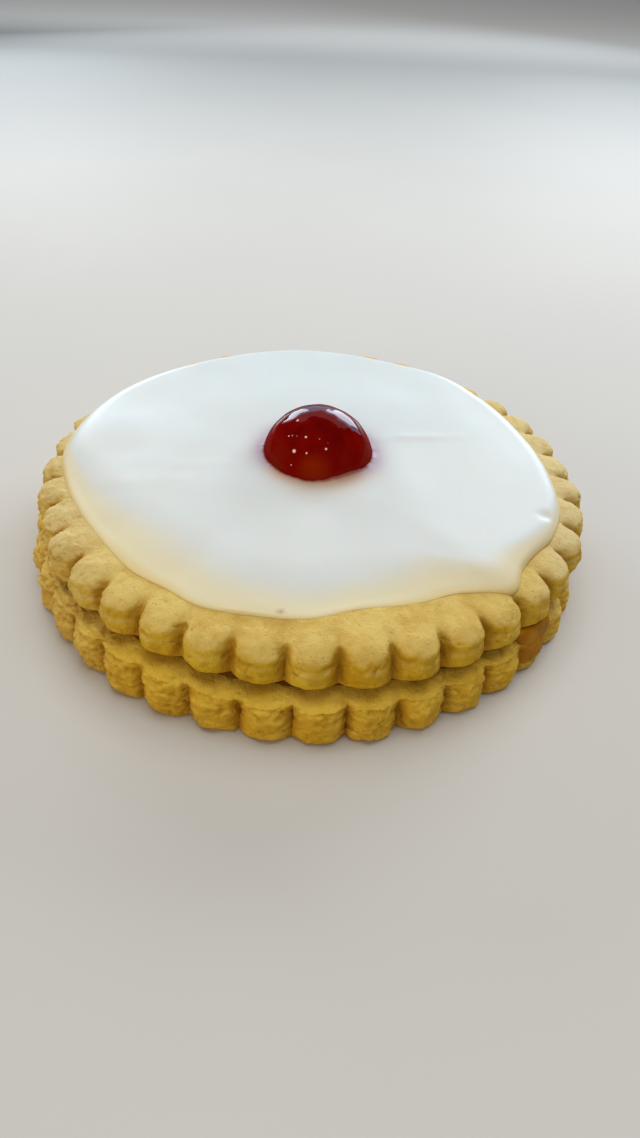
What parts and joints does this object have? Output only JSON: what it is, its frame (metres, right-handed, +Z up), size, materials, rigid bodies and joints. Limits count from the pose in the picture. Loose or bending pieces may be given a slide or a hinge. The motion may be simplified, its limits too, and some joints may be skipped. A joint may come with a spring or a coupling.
{
  "type": "empire biscuit",
  "caption": "Iced sandwich biscuit: fluted shortbread rounds joined by a layer of jam, with uneven white icing and half a glace cherry on top.",
  "frame": {"origin": "bottom centre of the bounding box, on the surface that the biscuit stands on", "axes": "+Z up through the stack, the shortest side; -Y towards the front, where most shortbread shows beyond the icing; +X to the right seen from the front"},
  "size_m": [0.0836, 0.0844, 0.0227],
  "materials": {
    "shortbread": "dry baked crumb, matt, pale golden",
    "jam": "glossy red-orange jam",
    "icing": "set water icing, satin gloss",
    "cherry": "glossy candied skin, dark red"
  },
  "bodies": {
    "root": {"lower_biscuit": "shortbread", "jam": "jam", "upper_biscuit": "shortbread", "icing": "icing", "cherry": "cherry"}
  },
  "joints": []
}
